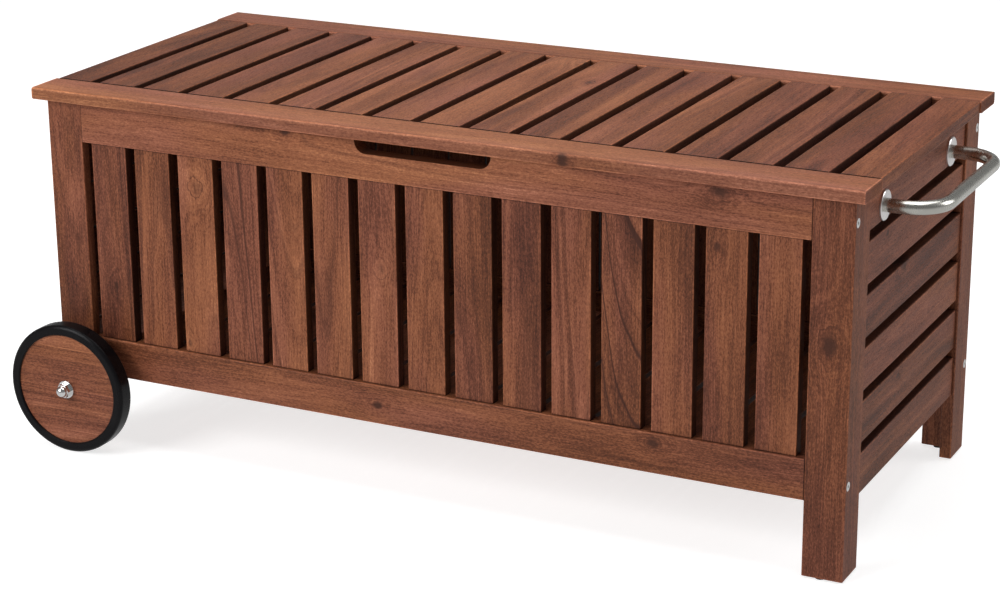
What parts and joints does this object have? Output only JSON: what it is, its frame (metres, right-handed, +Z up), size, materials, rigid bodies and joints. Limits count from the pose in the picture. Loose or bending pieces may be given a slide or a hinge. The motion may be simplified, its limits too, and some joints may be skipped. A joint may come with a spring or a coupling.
{
  "type": "deck storage box",
  "caption": "Slatted hardwood storage box with a hinged slatted lid, two wheels at one end and a U-shaped pull handle at the other.",
  "frame": {"origin": "centre of the whole outline in plan, handle and wheels included, on the floor", "axes": "+X towards the end with the pull handle, -Y towards the front with the finger slot, +Z up"},
  "size_m": [1.3866, 0.6868, 0.55],
  "materials": {
    "lid_wood": "stained and oiled hardwood",
    "panel_wood": "stained and oiled hardwood",
    "post_wood": "stained and oiled hardwood",
    "floor_wood": "stained hardwood, less oiled",
    "disc_wood": "stained and oiled hardwood",
    "tyre_rubber": "smooth black rubber",
    "handle_steel": "brushed stainless tube",
    "fixing_steel": "bright plated steel",
    "hinge_steel": "plain stainless sheet",
    "glide_plastic": "moulded black plastic"
  },
  "bodies": {
    "box": {"front_top_rail": "panel_wood", "front_bottom_rail": "panel_wood", "front_slat_01": "panel_wood", "front_slat_02": "panel_wood", "front_slat_03": "panel_wood", "front_slat_04": "panel_wood", "front_slat_05": "panel_wood", "front_slat_06": "panel_wood", "front_slat_07": "panel_wood", "front_slat_08": "panel_wood", "front_slat_09": "panel_wood", "front_slat_10": "panel_wood", "front_slat_11": "panel_wood", "front_slat_12": "panel_wood", "front_slat_13": "panel_wood", "front_slat_14": "panel_wood", "front_slat_15": "panel_wood", "back_top_rail": "panel_wood", "back_bottom_rail": "panel_wood", "back_slats": "panel_wood", "post_front_left": "post_wood", "post_front_right": "post_wood", "post_back_left": "post_wood", "post_back_right": "post_wood", "left_end_slats": "panel_wood", "right_end_slats": "panel_wood", "floor_slats": "floor_wood", "hinge_box_leaves": "hinge_steel", "hinge_pins": "hinge_steel", "handle_bar": "handle_steel", "handle_flanges": "handle_steel", "axle_rod": "fixing_steel", "axle_spacers": "fixing_steel", "axle_nuts": "fixing_steel", "frame_bolts": "fixing_steel", "foot_glides": "glide_plastic"},
    "lid": {"lid_front_rail": "lid_wood", "lid_back_rail": "lid_wood", "lid_slat_01": "lid_wood", "lid_slat_02": "lid_wood", "lid_slat_03": "lid_wood", "lid_slat_04": "lid_wood", "lid_slat_05": "lid_wood", "lid_slat_06": "lid_wood", "lid_slat_07": "lid_wood", "lid_slat_08": "lid_wood", "lid_slat_09": "lid_wood", "lid_slat_10": "lid_wood", "lid_slat_11": "lid_wood", "lid_slat_12": "lid_wood", "lid_slat_13": "lid_wood", "lid_slat_14": "lid_wood", "lid_slat_15": "lid_wood", "lid_slat_16": "lid_wood", "lid_slat_17": "lid_wood", "hinge_lid_leaves": "hinge_steel"},
    "front_wheel": {"wheel_front_disc": "disc_wood", "wheel_front_tyre": "tyre_rubber"},
    "back_wheel": {"wheel_back_disc": "disc_wood", "wheel_back_tyre": "tyre_rubber"}
  },
  "joints": [
    {"name": "lid_hinge", "type": "hinge", "parent": "box", "child": "lid", "pos_m": [-0.01025, 0.2744, 0.5276], "axis": [-1, 0, 0], "range_deg": [0, 96]},
    {"name": "front_wheel_spin", "type": "hinge", "parent": "box", "child": "front_wheel", "pos_m": [-0.59325, -0.3115, 0.1], "axis": [0, 1, 0], "continuous": true},
    {"name": "back_wheel_spin", "type": "hinge", "parent": "box", "child": "back_wheel", "pos_m": [-0.59325, 0.3115, 0.1], "axis": [0, 1, 0], "continuous": true}
  ]
}
